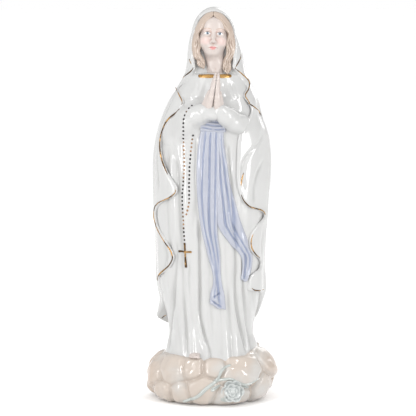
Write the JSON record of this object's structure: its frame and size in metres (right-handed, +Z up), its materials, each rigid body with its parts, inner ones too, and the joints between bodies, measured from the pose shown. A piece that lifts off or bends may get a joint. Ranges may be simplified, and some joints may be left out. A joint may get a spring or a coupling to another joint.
{
  "type": "madonna statue",
  "caption": "Free-standing glazed porcelain figurine of a veiled woman with folded hands, in a long gown, open mantle and blue sash, on a rounded rock base with a rose sprig.",
  "frame": {"origin": "middle of the foot, on the surface that the base stands on", "axes": "+Z up along the figure, the figure faces -Y, and +X is on a viewer's right"},
  "size_m": [0.0995, 0.0777, 0.3],
  "materials": {
    "white_glaze": "clear gloss glaze on white porcelain",
    "skin_glaze": "pale pink underglaze, gloss",
    "hair_glaze": "light tan underglaze, gloss",
    "blue_glaze": "pale blue underglaze, darker in the folds, gloss",
    "rock_glaze": "peach underglaze, uneven, gloss",
    "sprig_glaze": "grey-green underglaze, gloss",
    "bloom_glaze": "pale grey-blue underglaze, gloss",
    "dark_enamel": "raised black-brown enamel dots",
    "gold_lustre": "fired liquid gold, burnished"
  },
  "bodies": {
    "root": {"rock_base": "rock_glaze", "gown_skirt": "white_glaze", "gown_bodice": "white_glaze", "mantle": "white_glaze", "sleeve_right": "white_glaze", "sleeve_left": "white_glaze", "hand_right": "skin_glaze", "hand_left": "skin_glaze", "head": "skin_glaze", "hair_right": "hair_glaze", "hair_left": "hair_glaze", "right_foot": "skin_glaze", "sash_band": "blue_glaze", "sash_tail_centre": "blue_glaze", "sash_tail_side": "blue_glaze", "rose_stem": "sprig_glaze", "rose_leaves": "sprig_glaze", "rose_bloom": "bloom_glaze", "rosary_beads": "dark_enamel", "rosary_cross": "gold_lustre", "gold_collar": "gold_lustre", "gold_trim_right": "gold_lustre", "gold_trim_left": "gold_lustre"}
  },
  "joints": []
}
